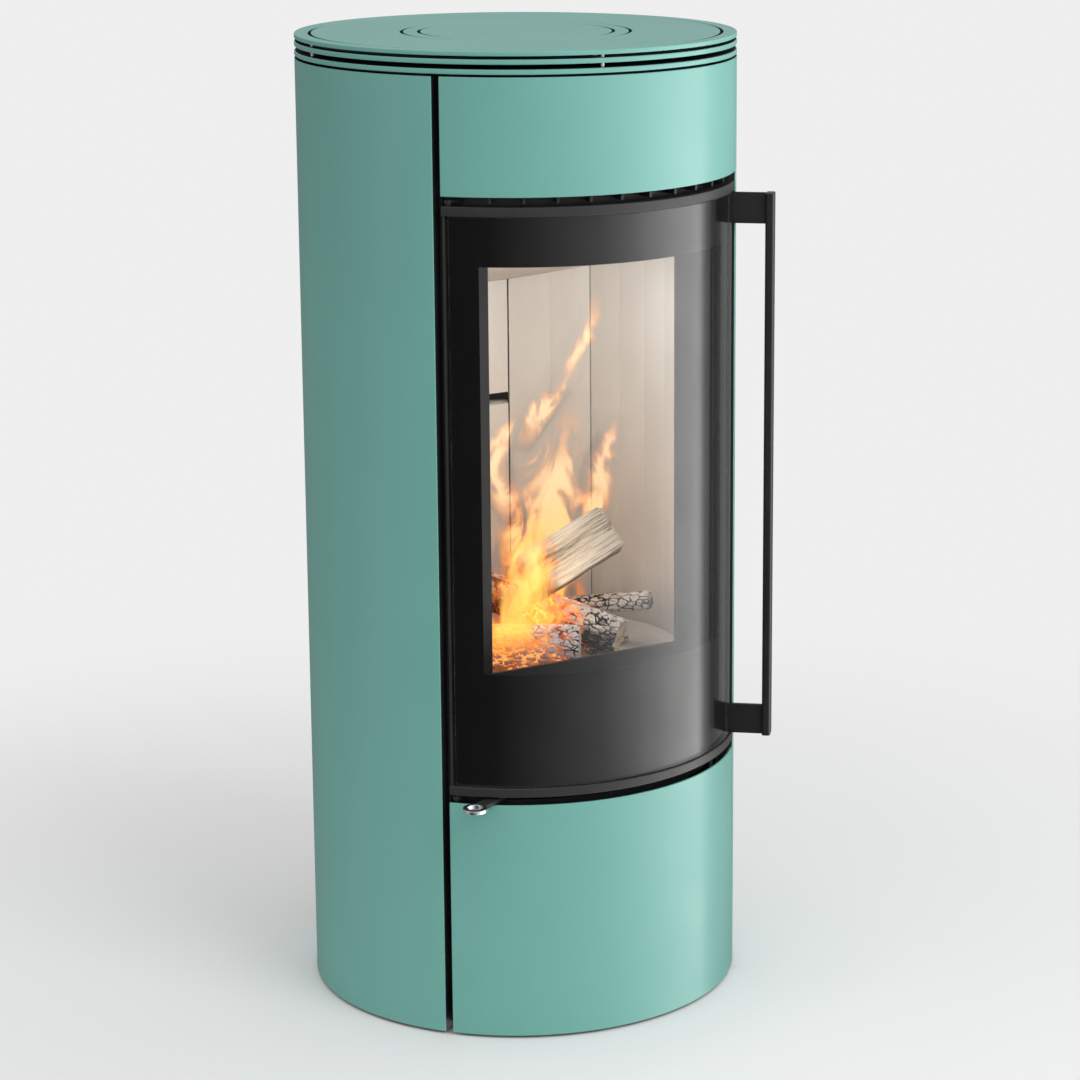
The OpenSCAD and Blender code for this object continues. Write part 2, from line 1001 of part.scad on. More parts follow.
door_rope_seal();
glass_gasket();
glass_print();
door_glass();
door_handle();
lower_door_panel();
lower_door_hinge_plates();
ash_pan();
air_lever();
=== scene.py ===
"""Looks of a round wood burning stove: detailed pieces, procedural materials, light and camera.

Lengths in this file are in millimetres and are scaled to metres when a mesh is made.
Plan angles are measured in degrees from the front (-Y) towards +X.
"""

import json
import math

import bmesh
import bpy
from mathutils import Matrix, Vector, noise


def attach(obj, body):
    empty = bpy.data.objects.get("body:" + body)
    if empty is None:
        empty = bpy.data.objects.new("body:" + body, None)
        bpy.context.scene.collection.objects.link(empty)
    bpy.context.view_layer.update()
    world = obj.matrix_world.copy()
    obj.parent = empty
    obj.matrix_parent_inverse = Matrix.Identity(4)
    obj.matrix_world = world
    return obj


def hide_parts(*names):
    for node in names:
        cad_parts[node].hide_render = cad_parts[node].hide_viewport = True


MM = 0.001
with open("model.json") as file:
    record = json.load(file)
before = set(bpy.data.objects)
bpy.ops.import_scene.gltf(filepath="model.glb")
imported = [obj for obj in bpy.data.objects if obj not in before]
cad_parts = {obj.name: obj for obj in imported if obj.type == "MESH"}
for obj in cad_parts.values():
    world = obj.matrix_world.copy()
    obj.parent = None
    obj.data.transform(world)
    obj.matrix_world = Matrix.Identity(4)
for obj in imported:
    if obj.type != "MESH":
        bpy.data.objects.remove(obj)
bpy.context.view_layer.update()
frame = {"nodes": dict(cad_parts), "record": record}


# ---- Node helpers ----


def new_material(name):
    """An empty node material: (material, tree, output socket for the surface)."""
    mat = bpy.data.materials.new(name)
    mat.use_nodes = True
    tree = mat.node_tree
    tree.nodes.clear()
    out = tree.nodes.new("ShaderNodeOutputMaterial")
    return mat, tree, out.inputs["Surface"]


def principled(tree, surface, **sockets):
    """A Principled shader wired to the output, with plain values set by socket name."""
    shader = tree.nodes.new("ShaderNodeBsdfPrincipled")
    for name, value in sockets.items():
        shader.inputs[name.replace("_", " ")].default_value = value
    tree.links.new(shader.outputs[0], surface)
    return shader


def coords(tree, stretch=(1, 1, 1), kind="Object"):
    source = tree.nodes.new("ShaderNodeTexCoord").outputs[kind]
    mapping = tree.nodes.new("ShaderNodeMapping")
    mapping.inputs["Scale"].default_value = stretch
    tree.links.new(source, mapping.inputs["Vector"])
    return mapping.outputs[0]


def noise_of(tree, scale, detail=3.0, rough=0.55, stretch=(1, 1, 1), warp=0.0, kind="Object"):
    tex = tree.nodes.new("ShaderNodeTexNoise")
    tex.inputs["Scale"].default_value = scale
    tex.inputs["Detail"].default_value = detail
    tex.inputs["Roughness"].default_value = rough
    tex.inputs["Distortion"].default_value = warp
    tree.links.new(coords(tree, stretch, kind), tex.inputs["Vector"])
    return tex.outputs["Fac"]


def attribute(tree, name):
    attr = tree.nodes.new("ShaderNodeAttribute")
    attr.attribute_name = name
    return attr.outputs["Fac"]


def math_node(tree, op, a, b=None, clamp=False):
    n = tree.nodes.new("ShaderNodeMath")
    n.operation = op
    n.use_clamp = clamp
    for socket, value in zip(n.inputs, (a, b)):
        if value is None:
            continue
        if isinstance(value, (int, float)):
            socket.default_value = value
        else:
            tree.links.new(value, socket)
    return n.outputs[0]


def remap(tree, value, lo, hi, to_lo=0.0, to_hi=1.0, smooth=False):
    n = tree.nodes.new("ShaderNodeMapRange")
    n.interpolation_type = "SMOOTHSTEP" if smooth else "LINEAR"
    for name, number in (("From Min", lo), ("From Max", hi), ("To Min", to_lo), ("To Max", to_hi)):
        n.inputs[name].default_value = number
    tree.links.new(value, n.inputs["Value"])
    return n.outputs[0]


def ramp(tree, value, stops):
    """A colour ramp through (position, (r, g, b)) stops."""
    n = tree.nodes.new("ShaderNodeValToRGB")
    elements = n.color_ramp.elements
    while len(elements) < len(stops):
        elements.new(0.5)
    for element, (position, colour) in zip(elements, stops):
        element.position = position
        element.color = (*colour, 1)
    tree.links.new(value, n.inputs[0])
    return n.outputs[0]


def mix(tree, factor, a, b, blend="MIX"):
    """Mixes two colours, each a socket or an (r, g, b)."""
    n = tree.nodes.new("ShaderNodeMix")
    n.data_type = "RGBA"
    n.blend_type = blend
    n.clamp_factor = True
    if isinstance(factor, (int, float)):
        n.inputs[0].default_value = factor
    else:
        tree.links.new(factor, n.inputs[0])
    for socket, value in ((n.inputs[6], a), (n.inputs[7], b)):
        if isinstance(value, tuple):
            socket.default_value = (*value, 1)
        else:
            tree.links.new(value, socket)
    return n.outputs[2]


def bump(tree, shader, height, strength, distance_mm, previous=None):
    n = tree.nodes.new("ShaderNodeBump")
    n.inputs["Strength"].default_value = strength
    n.inputs["Distance"].default_value = distance_mm * MM
    tree.links.new(height, n.inputs["Height"])
    if previous is not None:
        tree.links.new(previous, n.inputs["Normal"])
    tree.links.new(n.outputs[0], shader.inputs["Normal"])
    return n.outputs[0]


def round_edges(tree, radius_mm):
    n = tree.nodes.new("ShaderNodeBevel")
    n.samples = 4
    n.inputs["Radius"].default_value = radius_mm * MM
    return n.outputs[0]


def wire(tree, value, shader, socket):
    tree.links.new(value, shader.inputs[socket])


# ---- Materials ----


def painted(name, dark, light, rough, grain_scale, grain, blotch=3.0, edge_mm=0.0, **sockets):
    """Sprayed or powder coated metal: two close tones, an uneven gloss and a fine orange peel."""
    mat, tree, surface = new_material(name)
    shader = principled(tree, surface, **sockets)
    tone = noise_of(tree, blotch, 4, 0.6)
    speck = noise_of(tree, grain_scale * 1.7, 2, 0.5)
    both = math_node(tree, "ADD", math_node(tree, "MULTIPLY", tone, 0.65), math_node(tree, "MULTIPLY", speck, 0.35))
    wire(tree, mix(tree, remap(tree, both, 0.35, 0.65), dark, light), shader, "Base Color")
    gloss = noise_of(tree, blotch * 4, 3, 0.6)
    wire(tree, remap(tree, gloss, 0.3, 0.7, rough * 0.9, rough * 1.1), shader, "Roughness")
    edges = round_edges(tree, edge_mm) if edge_mm else None
    bump(tree, shader, noise_of(tree, grain_scale, 2, 0.5), grain, 0.1, edges)
    return mat


def metal(name, dark, light, rough, stretch, line_scale, strength):
    """Drawn or plated metal with fine lines along one axis and cloudy tarnish."""
    mat, tree, surface = new_material(name)
    shader = principled(tree, surface, Metallic=1.0)
    lines = noise_of(tree, line_scale, 4, 0.7, stretch)
    cloud = noise_of(tree, 24, 4, 0.65)
    both = math_node(tree, "ADD", math_node(tree, "MULTIPLY", lines, 0.5), math_node(tree, "MULTIPLY", cloud, 0.5))
    wire(tree, mix(tree, remap(tree, both, 0.35, 0.65), dark, light), shader, "Base Color")
    wire(tree, remap(tree, both, 0.3, 0.7, rough * 0.8, rough * 1.3), shader, "Roughness")
    bump(tree, shader, lines, strength, 0.1, round_edges(tree, 0.4))
    return mat


def make_vermiculite(name, dark, light):
    """Pressed vermiculite board: cream, with fine flakes, faint soot low down and a slightly open face."""
    mat, tree, surface = new_material(name)
    shader = principled(tree, surface, Roughness=0.92, Specular_IOR_Level=0.2)
    flakes = tree.nodes.new("ShaderNodeTexVoronoi")
    flakes.inputs["Scale"].default_value = 420
    tree.links.new(coords(tree, (1, 1, 1.6)), flakes.inputs["Vector"])
    fine = noise_of(tree, 900, 2, 0.6)
    cloud = noise_of(tree, 11, 5, 0.6, (1, 1, 0.35))
    body = mix(tree, remap(tree, cloud, 0.35, 0.68), dark, light)
    sparkle = remap(tree, flakes.outputs["Distance"], 0.0, 0.5, 1.0, 0.0)
    body = mix(tree, math_node(tree, "MULTIPLY", sparkle, 0.16), body, (0.42, 0.35, 0.27))
    low = tree.nodes.new("ShaderNodeSeparateXYZ")
    tree.links.new(coords(tree), low.inputs[0])
    streak = noise_of(tree, 22, 4, 0.6, (1, 1, 0.25))
    height = math_node(tree, "ADD", low.outputs["Z"], math_node(tree, "MULTIPLY", streak, 0.09))
    soot = remap(tree, height, 0.37, 0.46, 0.55, 0.0, True)
    wire(tree, mix(tree, soot, body, (0.17, 0.14, 0.12)), shader, "Base Color")
    first = bump(tree, shader, fine, 0.35, 0.4, round_edges(tree, 0.8))
    bump(tree, shader, flakes.outputs["Distance"], 0.18, 0.5, first)
    return mat


def make_rope():
    """Glass fibre rope: grey strands with fluff between them."""
    mat, tree, surface = new_material("rope_seal")
    shader = principled(tree, surface, Roughness=0.95, Sheen_Weight=0.3)
    fuzz = noise_of(tree, 1400, 3, 0.7)
    cloud = noise_of(tree, 60, 3, 0.6)
    both = math_node(tree, "ADD", math_node(tree, "MULTIPLY", fuzz, 0.5), math_node(tree, "MULTIPLY", cloud, 0.5))
    wire(tree, mix(tree, remap(tree, both, 0.3, 0.7), (0.055, 0.055, 0.058), (0.17, 0.17, 0.17)), shader, "Base Color")
    bump(tree, shader, fuzz, 0.8, 0.4)
    return mat


def make_print():
    """Black ceramic frit fired onto the inner face of the glass."""
    mat, tree, surface = new_material("glass_print")
    shader = principled(tree, surface, Specular_IOR_Level=0.08)
    speck = noise_of(tree, 1800, 2, 0.6)
    wire(tree, mix(tree, remap(tree, speck, 0.4, 0.7), (0.0018, 0.0018, 0.002), (0.004, 0.004, 0.0044)), shader, "Base Color")
    wire(tree, remap(tree, speck, 0.3, 0.7, 0.40, 0.44), shader, "Roughness")
    return mat


def make_glass():
    """Clear glass ceramic that lets light through and mirrors more at a slant."""
    mat, tree, surface = new_material("clear_glass")
    clear = tree.nodes.new("ShaderNodeBsdfTransparent")
    clear.inputs[0].default_value = (0.975, 0.972, 0.965, 1)
    gloss = tree.nodes.new("ShaderNodeBsdfGlossy")
    gloss.inputs["Roughness"].default_value = 0.03
    slant = tree.nodes.new("ShaderNodeLayerWeight")
    slant.inputs["Blend"].default_value = 0.5
    share = math_node(tree, "MULTIPLY", math_node(tree, "POWER", slant.outputs["Facing"], 5), 0.92)
    smear = remap(tree, noise_of(tree, 9, 4, 0.6), 0.3, 0.7, 0.030, 0.040)
    both = tree.nodes.new("ShaderNodeMixShader")
    tree.links.new(math_node(tree, "ADD", share, smear, True), both.inputs[0])
    tree.links.new(clear.outputs[0], both.inputs[1])
    tree.links.new(gloss.outputs[0], both.inputs[2])
    tree.links.new(both.outputs[0], surface)
    return mat


def make_split_wood():
    """Pale split firewood: long fibres, a few dark checks and a scorched underside."""
    mat, tree, surface = new_material("split_wood")
    shader = principled(tree, surface, Roughness=0.8)
    fibre = noise_of(tree, 620, 5, 0.75, (1, 1, 0.035))
    broad = noise_of(tree, 40, 4, 0.6, (1, 1, 0.12))
    both = math_node(tree, "ADD", math_node(tree, "MULTIPLY", fibre, 0.6), math_node(tree, "MULTIPLY", broad, 0.4))
    tones = [(0.37, (0.07, 0.06, 0.045)), (0.45, (0.27, 0.23, 0.18)), (0.52, (0.46, 0.42, 0.35)), (0.64, (0.66, 0.62, 0.54))]
    body = ramp(tree, both, tones)
    burnt = attribute(tree, "burnt")
    body = mix(tree, remap(tree, math_node(tree, "ADD", burnt, math_node(tree, "MULTIPLY", broad, 0.5)), 0.55, 0.95), body, (0.035, 0.027, 0.022))
    wire(tree, body, shader, "Base Color")
    bump(tree, shader, both, 0.7, 1.2)
    return mat


def make_end_grain():
    """Sawn log end with growth rings and rays."""
    mat, tree, surface = new_material("end_grain")
    shader = principled(tree, surface, Roughness=0.85)
    rings = tree.nodes.new("ShaderNodeTexWave")
    rings.wave_type = "RINGS"
    rings.rings_direction = "Z"
    rings.inputs["Scale"].default_value = 95
    rings.inputs["Distortion"].default_value = 2.2
    rings.inputs["Detail"].default_value = 2
    tree.links.new(coords(tree), rings.inputs["Vector"])
    blot = noise_of(tree, 90, 4, 0.6)
    body = mix(tree, rings.outputs["Fac"], (0.50, 0.38, 0.25), (0.78, 0.66, 0.48))
    body = mix(tree, remap(tree, blot, 0.45, 0.75), body, (0.22, 0.15, 0.10))
    wire(tree, body, shader, "Base Color")
    bump(tree, shader, rings.outputs["Fac"], 0.4, 0.4)
    return mat


def make_char(name, ash, glow):
    """Charred wood with crazed blocks: dark between, grey ash on the high parts, embers in the cracks."""
    mat, tree, surface = new_material(name)
    shader = principled(tree, surface, Roughness=0.95, Specular_IOR_Level=0.15)
    crack = attribute(tree, "crack")
    upward = attribute(tree, "upward")
    fine = noise_of(tree, 260, 5, 0.7, (1, 1, 0.35))
    broad = noise_of(tree, 34, 3, 0.55)
    dust = math_node(tree, "ADD", math_node(tree, "MULTIPLY", fine, 0.7), math_node(tree, "MULTIPLY", upward, 0.45))
    dust = remap(tree, math_node(tree, "ADD", dust, math_node(tree, "MULTIPLY", broad, 0.35)), 1.0 - ash * 0.62, 1.12 - ash * 0.45)
    body = mix(tree, dust, (0.016, 0.014, 0.013), (0.58, 0.545, 0.52))
    body = mix(tree, remap(tree, crack, 0.15, 0.7), body, (0.008, 0.007, 0.006))
    grain = noise_of(tree, 320, 5, 0.7, (1, 1, 0.06))
    wood = ramp(tree, grain, [(0.36, (0.10, 0.08, 0.055)), (0.47, (0.34, 0.29, 0.22)), (0.62, (0.62, 0.56, 0.46))])
    scorch = math_node(tree, "SUBTRACT", attribute(tree, "fresh"), math_node(tree, "MULTIPLY", broad, 0.9))
    body = mix(tree, remap(tree, scorch, -0.15, 0.5), body, wood)
    wire(tree, body, shader, "Base Color")
    heat = attribute(tree, "ember")
    lit = remap(tree, crack, 0.12, 0.75)
    patchy = math_node(tree, "MULTIPLY", math_node(tree, "SUBTRACT", noise_of(tree, 60, 3, 0.6), 0.5), 1.6)
    hot = remap(tree, math_node(tree, "ADD", heat, patchy), 0.30, 0.85)
    power = math_node(tree, "MULTIPLY", math_node(tree, "ADD", lit, 0.07), hot)
    embers = [(0.0, (0.55, 0.04, 0.01)), (0.3, (1.0, 0.15, 0.03)), (1.0, (1.0, 0.42, 0.10))]
    wire(tree, ramp(tree, power, embers), shader, "Emission Color")
    wire(tree, math_node(tree, "MULTIPLY", power, glow), shader, "Emission Strength")
    bump(tree, shader, fine, 0.6, 1.0)
    return mat


def make_flame():
    """A tongue of fire: hotter and denser in the middle and low down, torn at its edges."""
    mat, tree, surface = new_material("flame")
    split = tree.nodes.new("ShaderNodeSeparateXYZ")
    tree.links.new(coords(tree, kind="UV"), split.inputs[0])
    u, v = split.outputs["X"], split.outputs["Y"]
    wander = noise_of(tree, 15, 2.5, 0.5, (1, 1, 0.5))
    lick = noise_of(tree, 28, 3.5, 0.58, (1, 1, 0.5), 1.7)
    sideways = math_node(tree, "MULTIPLY", math_node(tree, "SUBTRACT", wander, 0.5), 1.6)
    sideways = math_node(tree, "MULTIPLY", sideways, remap(tree, v, 0.0, 0.5, 0.4, 1.0))
    centred = math_node(tree, "SUBTRACT", math_node(tree, "MULTIPLY", u, 2.0), 1.0)
    across = math_node(tree, "ABSOLUTE", math_node(tree, "ADD", centred, sideways))
    width = remap(tree, v, 0.0, 1.0, 0.95, 0.45)
    inside = math_node(tree, "SUBTRACT", 1.0, math_node(tree, "DIVIDE", across, width))
    licks = math_node(tree, "MULTIPLY", math_node(tree, "SUBTRACT", lick, 0.47), 4.0)
    body = math_node(tree, "ADD", inside, licks)
    fade_in = remap(tree, v, 0.0, 0.22, smooth=True)
    fade_out = remap(tree, v, 0.72, 0.98, 1.0, 0.0, True)
    rim = remap(tree, math_node(tree, "ABSOLUTE", centred), 0.45, 1.0, 1.0, 0.0, True)
    dense = math_node(tree, "MULTIPLY", remap(tree, body, 0.0, 1.0, smooth=True), rim)
    dense = math_node(tree, "MULTIPLY", dense, math_node(tree, "MULTIPLY", fade_in, fade_out))
    heights = tree.nodes.new("ShaderNodeSeparateXYZ")
    tree.links.new(coords(tree), heights.inputs[0])
    height = remap(tree, heights.outputs["Z"], 0.40, 0.55, 0.0, 1.0, True)
    low_fire = ramp(tree, dense, [(0.0, (1.0, 0.12, 0.01)), (0.5, (1.0, 0.30, 0.03)), (1.0, (1.0, 0.62, 0.15))])
    high_fire = ramp(tree, dense, [(0.0, (1.0, 0.26, 0.08)), (0.6, (1.0, 0.46, 0.22)), (1.0, (1.0, 0.76, 0.44))])
    fire = tree.nodes.new("ShaderNodeEmission")
    tree.links.new(mix(tree, height, low_fire, high_fire), fire.inputs["Color"])
    strength = math_node(tree, "MULTIPLY", dense, remap(tree, height, 0.0, 1.0, 0.66, 0.40))
    tree.links.new(strength, fire.inputs["Strength"])
    clear = tree.nodes.new("ShaderNodeBsdfTransparent")
    smoky = math_node(tree, "MULTIPLY", dense, remap(tree, height, 0.0, 1.0, 0.9, 0.30))
    tree.links.new(mix(tree, smoky, (1.0, 1.0, 1.0), (0.75, 0.55, 0.25)), clear.inputs["Color"])
    both = tree.nodes.new("ShaderNodeAddShader")
    tree.links.new(clear.outputs[0], both.inputs[0])
    tree.links.new(fire.outputs[0], both.inputs[1])
    tree.links.new(both.outputs[0], surface)
    return mat


def make_floor():
    """Pale studio floor that fades out into the backdrop."""
    mat, tree, surface = new_material("pale_floor")
    shader = principled(tree, surface, Roughness=0.7, Specular_IOR_Level=0.2)
    tone = noise_of(tree, 2, 3, 0.5)
    wire(tree, mix(tree, tone, (0.84, 0.84, 0.84), (0.88, 0.88, 0.88)), shader, "Base Color")
    away = tree.nodes.new("ShaderNodeVectorMath")
    away.operation = "LENGTH"
    tree.links.new(coords(tree), away.inputs[0])
    wire(tree, remap(tree, away.outputs["Value"], 0.55, 1.5, 1.0, 0.0, True), shader, "Alpha")
    return mat


TEAL = painted("teal_enamel", (0.132, 0.384, 0.333), (0.148, 0.416, 0.362), 0.46, 900, 0.06, Specular_IOR_Level=0.8, Coat_Weight=0.3, Coat_Roughness=0.15)
BLACK = painted("black_steel", (0.011, 0.011, 0.0115), (0.022, 0.022, 0.023), 0.5, 1500, 0.35, 9.0, 0.5)
RAIL = painted("rail_black", (0.016, 0.016, 0.017), (0.024, 0.024, 0.025), 0.42, 1500, 0.25, 9.0)
HANDLE = painted("handle_black", (0.010, 0.010, 0.0105), (0.016, 0.016, 0.0165), 0.34, 1700, 0.2, 8.0)
LEVER = painted("lever_black", (0.020, 0.020, 0.021), (0.030, 0.030, 0.031), 0.4, 1500, 0.2, 12.0, 0.6)
CAST = painted("cast_iron", (0.030, 0.028, 0.026), (0.075, 0.068, 0.062), 0.8, 320, 0.8, 14.0, 0.8)
ZINC = metal("zinc_steel", (0.50, 0.51, 0.52), (0.72, 0.73, 0.74), 0.28, (1, 1, 0.08), 700, 0.15)
SHEET = metal("sheet_steel", (0.30, 0.30, 0.31), (0.48, 0.48, 0.49), 0.42, (0.06, 1, 1), 500, 0.2)
CHROME = metal("lever_chrome", (0.80, 0.81, 0.82), (0.93, 0.93, 0.94), 0.12, (1, 1, 0.2), 600, 0.05)
BRICK = make_vermiculite("vermiculite", (0.62, 0.60, 0.565), (0.72, 0.70, 0.665))
# A darker, browner copy of the vermiculite for the side boards of the lining: painted shade on the side facets of the
# firebox.
SHADED_BRICK = make_vermiculite("vermiculite_painted_shade", (0.54, 0.515, 0.475), (0.63, 0.605, 0.565))
ROPE = make_rope()
PRINT = make_print()
GLASS = make_glass()
SPLIT = make_split_wood()
ENDS = make_end_grain()
CHAR = make_char("charred_log", 0.75, 2.6)
COALS = make_char("glowing_log", 1.15, 1.2)
ASH = make_char("ashy_log", 1.25, 0.6)
FLAME = make_flame()

SLOT_LOOKS = {
    "teal_enamel": TEAL, "black_steel": BLACK, "rail_black": RAIL, "handle_black": HANDLE, "lever_black": LEVER,
    "zinc_steel": ZINC, "sheet_steel": SHEET, "cast_iron": CAST, "vermiculite": BRICK, "rope_seal": ROPE,
    "glass_print": PRINT, "clear_glass": GLASS, "fire_log": CHAR,
}
# The side lining boards take the darker copy of the vermiculite, which is painted shade.
NODE_LOOKS = {"lining_side_left": SHADED_BRICK, "lining_side_right": SHADED_BRICK, "hinge_pins": HANDLE}
for part in frame["record"]["subparts"]:
    node = frame["nodes"][part["node"]]
    node.data.materials.clear()
    node.data.materials.append(NODE_LOOKS.get(part["node"], SLOT_LOOKS[part["material_slot"]]))


# ---- Mesh helpers ----


def polar(r, a):
    t = math.radians(a)
    return r * math.sin(t), -r * math.cos(t)


def finish_mesh(bm, name, mat, body, replaces=(), sharp=35.0):
    """Turns a bmesh in millimetres into a shaded piece that rides on a body."""
    bmesh.ops.remove_doubles(bm, verts=bm.verts, dist=1e-4)
    bmesh.ops.recalc_face_normals(bm, faces=bm.faces)
    bmesh.ops.scale(bm, vec=(MM, MM, MM), verts=bm.verts)
    for face in bm.faces:
        face.smooth = True
    for edge in bm.edges:
        edge.smooth = len(edge.link_faces) == 2 and edge.calc_face_angle(0) < math.radians(sharp)
    mesh = bpy.data.meshes.new(name)
    bm.to_mesh(mesh)
    bm.free()
    return add_piece(mesh, name, [mat], body, replaces)


def add_piece(mesh, name, mats, body, replaces=(), matrix=None):
    obj = bpy.data.objects.new(name, mesh)
    for mat in mats:
        mesh.materials.append(mat)
    bpy.context.scene.collection.objects.link(obj)
    if matrix is not None:
        obj.matrix_world = matrix
    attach(obj, body)
    if replaces:
        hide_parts(*replaces)
    return obj


def face_weights(obj):
    """Keeps large faces flat next to their rounded edges."""
    weights = obj.modifiers.new("face_weights", "WEIGHTED_NORMAL")
    weights.keep_sharp = True
    weights.weight = 100
    return obj


def box_bm(x0, x1, y0, y1, z0, z1, bevel, segments=3):
    bm = bmesh.new()
    bmesh.ops.create_cube(bm, size=1)
    for v in bm.verts:
        v.co = Vector((x0 + (v.co.x + 0.5) * (x1 - x0), y0 + (v.co.y + 0.5) * (y1 - y0), z0 + (v.co.z + 0.5) * (z1 - z0)))
    if bevel:
        bmesh.ops.bevel(bm, geom=list(bm.edges), offset=bevel, segments=segments, profile=0.5, affect="EDGES")
    return bm


def cut_up(bm, axis, lo, hi, step):
    """Cuts a mesh across one axis so that it can be bent."""
    count = max(1, round((hi - lo) / step))
    for i in range(1, count):
        place, normal = [0, 0, 0], [0, 0, 0]
        place[axis], normal[axis] = lo + (hi - lo) * i / count, 1
        geom = list(bm.verts) + list(bm.edges) + list(bm.faces)
        bmesh.ops.bisect_plane(bm, geom=geom, plane_co=place, plane_no=normal, dist=1e-5)


def bend(bm, radius):
    """Wraps x, a length along the arc of that radius, round the stove's axis. y is the distance from the axis."""
    for v in bm.verts:
        x, y = polar(v.co.y, math.degrees(v.co.x / radius))
        v.co = Vector((x, y, v.co.z))


def bent_box(name, r0, r1, a0, a1, z0, z1, bevel, mat, body, replaces=(), step=1.2):
    """A curved plate between two radii, plan angles and heights, with rounded edges."""
    mid = (r0 + r1) / 2
    x0, x1 = math.radians(a0) * mid, math.radians(a1) * mid
    bm = box_bm(x0, x1, r0, r1, z0, z1, bevel)
    cut_up(bm, 0, x0, x1, math.radians(step) * mid)
    bend(bm, mid)
    return face_weights(finish_mesh(bm, name, mat, body, replaces, 50))


def bent_frame(name, r0, r1, half, z0, z1, hole_half, hole_z0, hole_z1, mat, body, replaces=()):
    """A thin curved plate with a window, as one closed shell."""
    angles = [-half + (half - hole_half) * i / 6 for i in range(6)]
    angles += [-hole_half + 2 * hole_half * i / 66 for i in range(66)]
    angles += [hole_half + (half - hole_half) * i / 6 for i in range(7)]
    heights = [z0, hole_z0, hole_z1, z1]
    bm = bmesh.new()
    grid = {}
    for i, a in enumerate(angles):
        for j, z in enumerate(heights):
            for k, r in enumerate((r0, r1)):
                grid[i, j, k] = bm.verts.new((*polar(r, a), z))

    def solid(i, j):
        inside = 0 <= i < len(angles) - 1 and 0 <= j < 3
        return inside and not (j == 1 and 6 <= i < 72)

    for i in range(len(angles) - 1):
        for j in range(3):
            if not solid(i, j):
                continue
            for k in (0, 1):
                bm.faces.new([grid[i, j, k], grid[i + 1, j, k], grid[i + 1, j + 1, k], grid[i, j + 1, k]])
            for di, dj, p, q in ((-1, 0, (i, j), (i, j + 1)), (1, 0, (i + 1, j), (i + 1, j + 1)),
                                 (0, -1, (i, j), (i + 1, j)), (0, 1, (i, j + 1), (i + 1, j + 1))):
                if not solid(i + di, j + dj):
                    bm.faces.new([grid[(*p, 0)], grid[(*p, 1)], grid[(*q, 1)], grid[(*q, 0)]])
    return finish_mesh(bm, name, mat, body, replaces, 40)


def rounded_section(r0, r1, z0, z1, radius, steps=4):
    """Outline of a rounded rectangle, as (r, z) points."""
    points = []
    centres = ((r1 - radius, z1 - radius, 0), (r0 + radius, z1 - radius, 90), (r0 + radius, z0 + radius, 180), (r1 - radius, z0 + radius, 270))
    for cr, cz, start in centres:
        for i in range(steps + 1):
            t = math.radians(start + 90 * i / steps)
            points.append((cr + radius * math.cos(t), cz + radius * math.sin(t)))
    return points


def turned(name, section, mat, body, replaces=(), centre=(0, 0), count=240):
    """A ring turned from a closed (r, z) outline round an upright axis."""
    bm = bmesh.new()
    rings = []
    for i in range(count):
        t = 2 * math.pi * i / count
        rings.append([bm.verts.new((centre[0] + r * math.cos(t), centre[1] + r * math.sin(t), z)) for r, z in section])
    n = len(section)
    for i in range(count):
        a, b = rings[i], rings[(i + 1) % count]
        for j in range(n):
            bm.faces.new([a[j], b[j], b[(j + 1) % n], a[(j + 1) % n]])
    return face_weights(finish_mesh(bm, name, mat, body, replaces, 50))


def turned_disc(name, r, z0, z1, radius, mat, body, replaces=(), count=240):
    """A round plate with a rounded rim."""
    outline = [p for p in rounded_section(0, r, z0, z1, radius) if p[0] > r - radius - 1e-6]
    top = [p for p in outline if p[1] > (z0 + z1) / 2]
    low = [p for p in outline if p[1] < (z0 + z1) / 2]
    path = sorted(low, key=lambda p: p[0]) + sorted(top, key=lambda p: -p[0])
    bm = bmesh.new()
    rings = []
    for i in range(count):
        t = 2 * math.pi * i / count
        rings.append([bm.verts.new((q * math.cos(t), q * math.sin(t), z)) for q, z in path])
    for i in range(count):
        a, b = rings[i], rings[(i + 1) % count]
        for j in range(len(path) - 1):
            bm.faces.new([a[j], b[j], b[j + 1], a[j + 1]])
    bm.faces.new([ring[0] for ring in rings])
    bm.faces.new([ring[-1] for ring in rings])
    return face_weights(finish_mesh(bm, name, mat, body, replaces, 50))


def extruded(name, outline, z0, z1, bevel, mat, body, replaces=(), sharp=40):
    """An outline in plan pulled up between two heights, with its end edges rounded."""
    bm = bmesh.new()
    low = [bm.verts.new((x, y, z0)) for x, y in outline]
    face = bm.faces.new(low)
    out = bmesh.ops.extrude_face_region(bm, geom=[face])
    top = [v for v in out["geom"] if isinstance(v, bmesh.types.BMVert)]
    bmesh.ops.translate(bm, vec=(0, 0, z1 - z0), verts=top)
    bmesh.ops.recalc_face_normals(bm, faces=bm.faces)
    if bevel:
        ends = [e for e in bm.edges if abs(e.verts[0].co.z - e.verts[1].co.z) < 1e-6]
        bmesh.ops.bevel(bm, geom=ends, offset=bevel, segments=2, profile=0.5, affect="EDGES")
    return face_weights(finish_mesh(bm, name, mat, body, replaces, sharp))


# ---- Cladding and top ----

BODY_R, CLAD_T, CLAD_Z, CLAD_TOP = 225.0, 2.5, 3.0, 978.0
FRONT_HALF, SIDE_START, SIDE_END = 49.3, 51.3, 146.0


